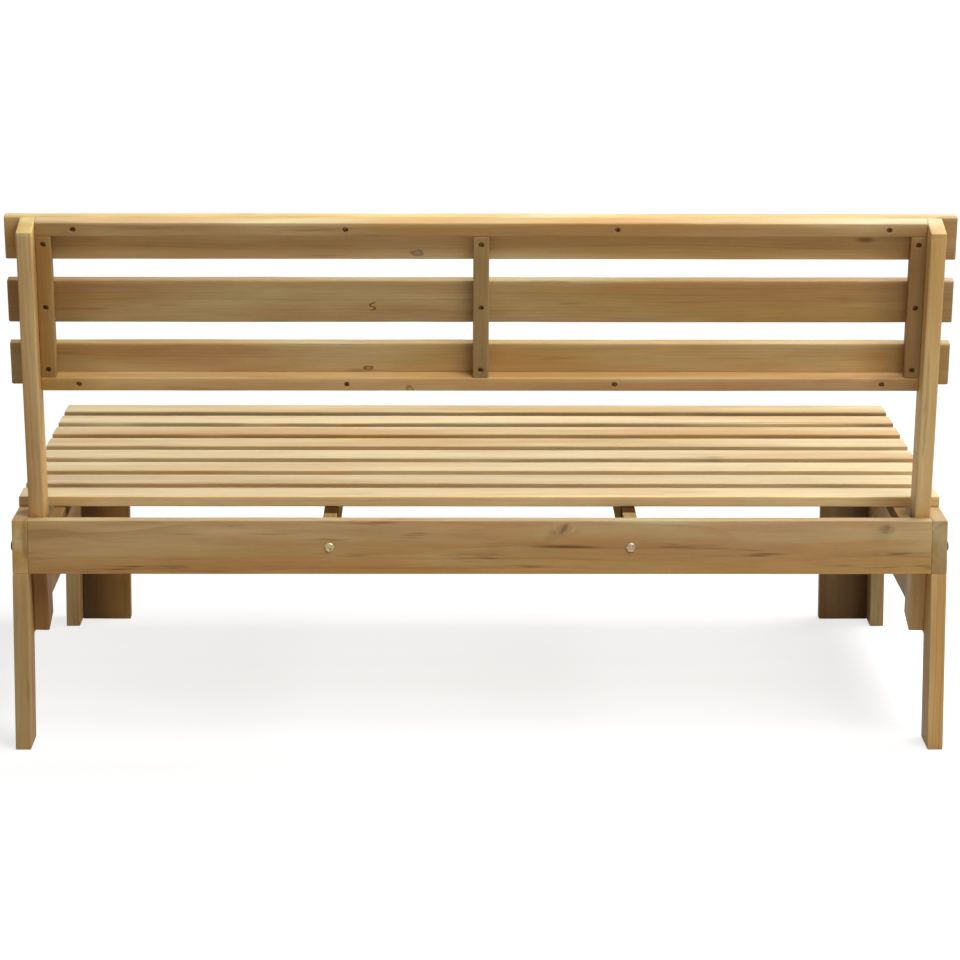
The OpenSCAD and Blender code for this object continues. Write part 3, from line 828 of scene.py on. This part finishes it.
# painted shade on the foot of the post, under the seat
paintedFootShade = stainAndLightPatch((-350, 0, 0), (130, 100, 100), (0.66, 0.56, 0.46), soft=0.3)
backLooks = {
    "back_slat_top": cut(backSlats, 21, 0.55, 0.40, tone=1.16, knots=[(99, -24, -9, 5.5)], knotDepth=0.55,
                         stainsAndLight=[darkKnot, edgeHighlightWarmth] + topEndLightAndShade),
    "back_slat_middle": cut(backSlats, 22, 0.72, 0.60, tone=0.82,
                            stainsAndLight=[paintedEdgeHighlight] + lowerEndShades, tracks=[grubTrack]),
    "back_slat_bottom": cut(backSlats, 23, 0.75, 0.60, tone=0.88, knots=[(180, -5, -9, 4)],
                            stainsAndLight=[paintedEdgeHighlight] + lowerEndShades),
    "back_top_rail": cut(backPanel, 24, 0.50, 0.40, tone=1.02,
                         stainsAndLight=railLightAndShade + paintedRailEndShade + [paintedRightTopHighlight], holes=screwHoles),
    "back_bottom_rail": cut(backPanel, 25, 0.50, 0.55, tone=1.15, knots=[(116, railRear, -11, 3.5)],
                            knotDepth=0.5, stainsAndLight=lowRailLightAndShade + paintedRailEndShade, holes=screwHoles),
    "back_batten_left": cut(backPanel, 26, 0.95, 0.60, tone=0.60,
                            stainsAndLight=[allOver((1.04, 0.97, 0.86))], holes=screwHoles),
    "back_batten_centre": cut(backPanel, 27, 0.45, 0.85, tone=0.62, holes=screwHoles),
    "back_batten_right": cut(backPanel, 28, 1.00, 0.60, tone=0.70,
                             stainsAndLight=[allOver((0.98, 0.96, 0.88))], holes=screwHoles),
    "back_post_left": cut(posts, 31, 0.50, 0.25, tone=1.12, stainsAndLight=[postTop((0.88, 0.90, 0.92))]),
    "back_post_right": cut(posts, 32, 0.90, 0.55, tone=1.04,
                           stainsAndLight=[paintedFootShade, postTop((1.10, 1.30, 1.22))]),
}
for node, look in backLooks.items():
    makeBoard(boardOf(node, backTilt), look)
print("bench: back")

apronKnots = [(-132, 30, boardRear, 7), (-651, 30, boardRear, 7)]
apronStainsAndLight = [
    stainAndLightPatch((-124, 24, boardRear), (14, 15, through), (0.86, 0.86, 0.84), 1.0),
    stainAndLightPatch((-132, 30, boardRear), (4, 8, through), (0.60, 0.58, 0.54), 0.5),
    stainAndLightPatch((-137, 1, boardRear), (48, 2.4, through), (0.38, 0.32, 0.26), soft=0.8),
    stainAndLightPatch((-646, 25, boardRear), (16, 15, through), (0.84, 0.88, 0.88), 0.3),
    stainAndLightPatch((-651, 31, boardRear), (5, 7, through), (0.70, 0.70, 0.70), 0.3),
    band(-44, boardRear, 9, through, (1.08, 1.02, 1.04), 0.5, frameLong),
    # painted highlight along the apron's top edge
    band(46, -4, 6, 12, (0.98, 1.18, 1.42), long=frameLong),
    stainAndLightPatch((-420, -20, boardRear), (500, 30, through), (0.99, 1.05, 1.18)),
    stainAndLightPatch((-520, 26, boardRear), (180, 18, through), (0.95, 0.93, 0.96)),
]
# darker in a patch near one end of the rail, towards its inner face
railEndDarkening = stainAndLightPatch((463, 8, -12.5), (25, 34, 7), (0.66, 0.62, 0.58))
leftFaceShade = band(-50, 12.5, 46, 12, (0.45, 0.42, 0.40), 0.8, frameLong)  # the planks' darker sides
rightFaceShade = band(50, 12.5, 50, 12, (0.34, 0.33, 0.34), 0.8, frameLong)
frameLooks = {
    "rear_apron": cut(frameBoards, 41, 0.74, 0.60, 1.0, tone=0.90, knots=apronKnots, knotDepth=0.12,
                      stainsAndLight=apronStainsAndLight, holes=nutHoles),
    "front_apron": cut(frameBoards, 42, 0.55, 0.45, holes=nutHoles),
    "side_rail_left": cut(frameBoards, 43, 0.40, 0.30, tone=0.68, pith=(0.008, -0.018), ringWidth=12.0),
    "side_rail_right": cut(frameBoards, 44, 0.60, 0.40, stainsAndLight=[railEndDarkening]),
    "rear_leg_left": cut(frameBoards, 45, 0.55, 0.30, tone=1.05),
    "rear_leg_right": cut(frameBoards, 46, 0.95, 0.35, tone=0.84),
    "front_leg_left": cut(frameBoards, 47, 0.65, 0.35, tone=0.66),
    "front_leg_right": cut(frameBoards, 48, 0.50, 0.30, tone=1.2),
    "front_leg_face_left": cut(frameBoards, 49, 0.85, 0.50, tone=0.60, stainsAndLight=[leftFaceShade]),
    "front_leg_face_right": cut(frameBoards, 50, 0.85, 0.40, tone=0.85, stainsAndLight=[rightFaceShade]),
    "lower_side_board_left": cut(frameBoards, 51, 0.55, 0.40),
    "lower_side_board_right": cut(frameBoards, 52, 0.55, 0.40),
}
for node, look in frameLooks.items():
    makeBoard(boardOf(node), look)
print("bench: frame boards")

bearerEnd, bearerEdge = (boardOf("seat_bearer_left")["size"] / 2 / mm)[:2]
paintedSlatShadow = [  # painted shadow of the last slat on the bearer's top, and a painted pool of light on the bearer's end by the apron
    stainAndLightPatch((bearerEnd - 62, bearerEdge, 0), (30, 34, through), (0.20, 0.16, 0.15), soft=0.12),
    stainAndLightPatch((bearerEnd - 12, bearerEdge, 0), (22, 34, through), (0.96, 1.06, 1.30), soft=0.12),
]
bearerHoles = screwHoles + nutHoles
innerLooks = {
    "seat_bearer_left": cut(innerBoards, 61, 0.70, 0.50, tone=0.6, stainsAndLight=paintedSlatShadow, holes=bearerHoles),
    "seat_bearer_right": cut(innerBoards, 62, 0.70, 0.50, tone=0.6, stainsAndLight=paintedSlatShadow, holes=bearerHoles),
    "seat_end_batten_left": cut(innerBoards, 63, 0.60, 0.50, tone=0.5, holes=screwHoles),
    "seat_end_batten_right": cut(innerBoards, 64, 0.70, 0.40, tone=0.4, holes=screwHoles),
}
for node, look in innerLooks.items():
    makeBoard(boardOf(node), look)
print("bench: bearers and battens")


# Fasteners: one tree for each kind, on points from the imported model

def newFastener(name, *sizes):
    return newShape(name, Geometry=["Geometry"], Float=sizes, Material=["Material"])


def endFastener(tree, given, made, solid):
    placed = scatter(tree, given["Geometry"], solid)
    tree.links.new(finishMesh(tree, placed, given["Material"]), made["Geometry"])
    return tree


def cubeOf(tree, *sizes):
    return addNode(tree, "GeometryNodeMeshCube", {"Size": joinVector(tree, *sizes)}).outputs[0]


def rodOf(tree, sides, width, depth):
    sizes = {"Vertices": sides, "Radius": scale(tree, width, 0.5), "Depth": depth}
    return addNode(tree, "GeometryNodeMeshCylinder", sizes).outputs["Mesh"]


def profile(tree, shares, width, height):  # a lathe's rings, from shares of a width and of a height
    return [(scale(tree, width, wide), scale(tree, height, high)) for wide, high in shares]


woodScrew = {
    "shank": 4.0 * mm,
    "rim": (0.25 * mm, 0.5 * mm),  # the head is widest between these depths
    "neck": [(0.6, 1.0), (0.5, 1.15)],  # shares of the shank's width and of the head's height
    "taper": 1.4,  # length of the point, in shanks
    "point": 0.1 * mm,
    "cross": [(0.62, 0.13), (0.13, 0.62)],  # blades of the recess, in head widths
    "sides": 24,
}


def makeScrewTree():  # a countersunk wood screw with a cross recess, its head's top at the point
    tree, given, made = newFastener("woodScrew", "Length", "Width")
    length, head, shank, high = given["Length"], given["Width"], woodScrew["shank"], screwHeadHeight
    taper = calc(tree, "SUBTRACT", length, shank * woodScrew["taper"])
    rings = [(scale(tree, head, 0.47), 0.0)]
    rings += [(scale(tree, head, 0.5), depth) for depth in woodScrew["rim"]]
    rings += profile(tree, woodScrew["neck"], shank, high)
    rings += [(shank * 0.5, taper), (woodScrew["point"], length)]
    solid = lathe(tree, rings, woodScrew["sides"])
    for long, thick in woodScrew["cross"]:
        blade = cubeOf(tree, scale(tree, head, long), scale(tree, head, thick), high)
        solid = cutAway(tree, solid, blade)
    return endFastener(tree, given, made, solid)


furnitureBolt = {
    "shank": 6.0 * mm,
    "headHeight": 3.0 * mm,
    # the head's dome and the neck below it: shares of the width of each, and of the head's height
    "dome": [(0.20, 0.0), (0.33, 0.05), (0.42, 0.22), (0.48, 0.52), (0.5, 0.80), (0.49, 0.98)],
    "neck": [(0.55, 1.0), (0.5, 1.1)],
    "chamfer": 0.8 * mm,
    "key": 6.0 * mm,
    "keyDepth": 1.4,  # in head heights, half of it in the head
    "sides": 32,
}


def makeBoltTree():  # a domed bolt with a hexagon recess, the top of its head at the point
    tree, given, made = newFastener("furnitureBolt", "Length", "Width")
    shank, high = furnitureBolt["shank"], furnitureBolt["headHeight"]
    chamfer = calc(tree, "SUBTRACT", given["Length"], furnitureBolt["chamfer"])
    rings = profile(tree, furnitureBolt["dome"], given["Width"], high)
    rings += profile(tree, furnitureBolt["neck"], shank, high)
    rings += [(shank * 0.5, chamfer), (shank * 0.38, given["Length"])]
    solid = lathe(tree, rings, furnitureBolt["sides"])
    key = rodOf(tree, 6, furnitureBolt["key"], high * furnitureBolt["keyDepth"])
    return endFastener(tree, given, made, cutAway(tree, solid, key))


roundNut = {"bore": 6.2 * mm, "slot": 1.5 * mm, "bevel": 0.5 * mm, "sides": 32}


def makeRoundNutTree():  # a barrel nut with its cross bore and a slot, its slotted end at the point
    tree, given, made = newFastener("barrelNut", "Length", "Width")
    length, width, slot = given["Length"], given["Width"], roundNut["slot"]
    half = scale(tree, width, 0.5)
    edge = calc(tree, "SUBTRACT", half, roundNut["bevel"])
    end = calc(tree, "SUBTRACT", length, roundNut["bevel"])
    rings = [(edge, 0.0), (half, roundNut["bevel"]), (half, end), (edge, length)]
    solid = lathe(tree, rings, roundNut["sides"])
    groove = cubeOf(tree, scale(tree, width, 1.2), slot, slot * 2.0)
    bore = rodOf(tree, 24, roundNut["bore"], scale(tree, width, 1.4))
    middle = joinVector(tree, 0.0, 0.0, scale(tree, length, 0.5))
    lie = {"Geometry": bore, "Translation": middle, "Rotation": (0.0, math.pi / 2, 0.0)}
    bore = addNode(tree, "GeometryNodeTransform", lie).outputs[0]
    return endFastener(tree, given, made, cutAway(tree, cutAway(tree, solid, groove), bore))


def makeRingTree(name, sides):  # a washer or a hexagon nut, with worn corners, one face at the point
    tree, given, made = newFastener(name, "Length", "Width", "Bore", "Bevel")
    high, bevel = given["Length"], given["Bevel"]
    half = scale(tree, given["Width"], 0.5)
    edge = calc(tree, "SUBTRACT", half, scale(tree, bevel, 1.7))
    rings = [(edge, 0.0), (half, bevel), (half, calc(tree, "SUBTRACT", high, bevel)), (edge, high)]
    bore = rodOf(tree, 32, given["Bore"], scale(tree, high, 3.0))
    return endFastener(tree, given, made, cutAway(tree, lathe(tree, rings, sides), bore))


def makeFasteners(name, node, places, tree, slot="bolt_steel", across=None, **sizes):
    draw = random.Random(len(places))
    for place in places:
        around = Vector([draw.uniform(-1, 1) for _ in range(3)])
        place["across"] = (across(place) if across else place["axis"].cross(around)).normalized()
    piece = pointsObject(name, places)
    sizes.update(Length=places[0]["length"], Width=places[0]["width"], Material=steels[slot])
    addModifier(piece, tree, sizes)
    bake(piece)
    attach(piece, "root")
    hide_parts(node)


def boreWay(nut):  # a barrel nut's bore lies level, across the nut
    return nut["axis"].cross(Vector((0.0, 0.0, 1.0)))


screwTree = makeScrewTree()
makeFasteners("backScrews", "back_screws", backScrews, screwTree, "screw_steel")
makeFasteners("seatScrews", "seat_screws", seatScrews, screwTree, "screw_steel")
makeFasteners("panelScrews", "panel_screws", panelScrews, screwTree, "screw_steel")
makeFasteners("frameBolts", "frame_bolts", frameBolts, makeBoltTree())
makeFasteners("barrelNuts", "barrel_nuts", barrelNuts, makeRoundNutTree(), across=boreWay)
makeFasteners("postWashers", "post_washers", postWashers, makeRingTree("washer", 32),
              Bore=6.2 * mm, Bevel=0.2 * mm)
makeFasteners("postNuts", "post_nuts", postNuts, makeRingTree("hexNut", 6), Bore=6.0 * mm, Bevel=0.5 * mm)

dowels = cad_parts["frame_dowels"]  # plain beech pins, hidden in the joints
dowelBoard = {"place": Matrix.Identity(4), "size": Vector((3.0, 3.0, 3.0))}
dowelLook = cut(innerBoards, 71, 0.1, 0.1, 0.1)
dowels.data.materials.clear()
dowels.data.materials.append(makeWood("dowelBeech", dowelBoard, dowelLook))
print("bench: fasteners")


# Studio: a pale floor and two large soft lamps, one over the front and one over the back

studio = {
    "floorSize": 40.0,
    "floorColour": (0.45, 0.45, 0.45, 1.0),
    "floorGlow": (0.71, 0.92),  # seen by the camera, beside the bench and far away
    "floorFade": (0.8, 6.0),  # metres from the middle at which these two are reached
    "floorSheen": 0.3,  # part of that glow that reflections see
    "skyLight": 0.24,
    "skySheen": (1.0, 0.45),  # in reflections, towards the front and towards the camera
    "skyFade": 0.6,
    "lamps": [
        # name, place, aim, size, watts
        ("overFront", (-1.6, -0.8, 3.4), (0.0, 0.1, 0.4), 2.2, 92.0),
        ("overBack", (-1.4, 2.7, 3.6), (0.0, 0.2, 0.4), 2.2, 102.0),
    ],
}


def raysSeen(tree, glossy):  # 1 for the camera and clear things, less for reflections, 0 for light
    rays = tree.nodes.new("ShaderNodeLightPath").outputs
    direct = calc(tree, "MAXIMUM", rays["Is Camera Ray"], rays["Is Transmission Ray"])
    return calc(tree, "MAXIMUM", direct, times(tree, rays["Is Glossy Ray"], glossy))


def makeFloor(look):
    half = look["floorSize"] / 2
    corners = [(-half, -half, 0), (half, -half, 0), (half, half, 0), (-half, half, 0)]
    mesh = bpy.data.meshes.new("floor")
    mesh.from_pydata(corners, [], [(0, 1, 2, 3)])
    floor = newPiece("floor", mesh)
    material, tree = newMaterial("floorPaint")
    tree.nodes.clear()
    paint = addNode(tree, "ShaderNodeBsdfDiffuse", {"Color": look["floorColour"]}).outputs[0]
    far = vectorCalc(tree, "LENGTH", tree.nodes.new("ShaderNodeTexCoord").outputs["Object"])
    glow = ease(tree, far, *look["floorFade"], *look["floorGlow"])
    strength = times(tree, raysSeen(tree, look["floorSheen"]), glow)
    glow = addNode(tree, "ShaderNodeEmission", {"Strength": strength}).outputs[0]
    both = addNode(tree, "ShaderNodeAddShader", {0: paint, 1: glow}).outputs[0]
    addNode(tree, "ShaderNodeOutputMaterial", {"Surface": both})
    floor.data.materials.append(material)


def makeWorld(look):
    world = bpy.data.worlds.new("studio")
    world.use_nodes = True
    tree = world.node_tree
    way = splitVector(tree, tree.nodes.new("ShaderNodeTexCoord").outputs["Generated"])[1]
    sheen = ease(tree, way, -look["skyFade"], look["skyFade"], *look["skySheen"])
    strength = calc(tree, "MAXIMUM", raysSeen(tree, sheen), look["skyLight"])
    tree.links.new(strength, tree.nodes["Background"].inputs["Strength"])
    tree.nodes["Background"].inputs["Color"].default_value = (1.0, 1.0, 1.0, 1.0)
    bpy.context.scene.world = world


def makeLamp(name, place, aim, size, watts):
    data = bpy.data.lights.new(name, "AREA")
    data.size = size
    data.energy = watts
    lamp = bpy.data.objects.new(name, data)
    turn = (Vector(aim) - Vector(place)).to_track_quat("-Z", "Y")
    lamp.matrix_world = Matrix.Translation(place) @ turn.to_matrix().to_4x4()
    bpy.context.scene.collection.objects.link(lamp)


makeFloor(studio)
makeWorld(studio)
for lamp in studio["lamps"]:
    makeLamp(*lamp)
bpy.context.scene.view_settings.view_transform = "Standard"
print("bench: studio")
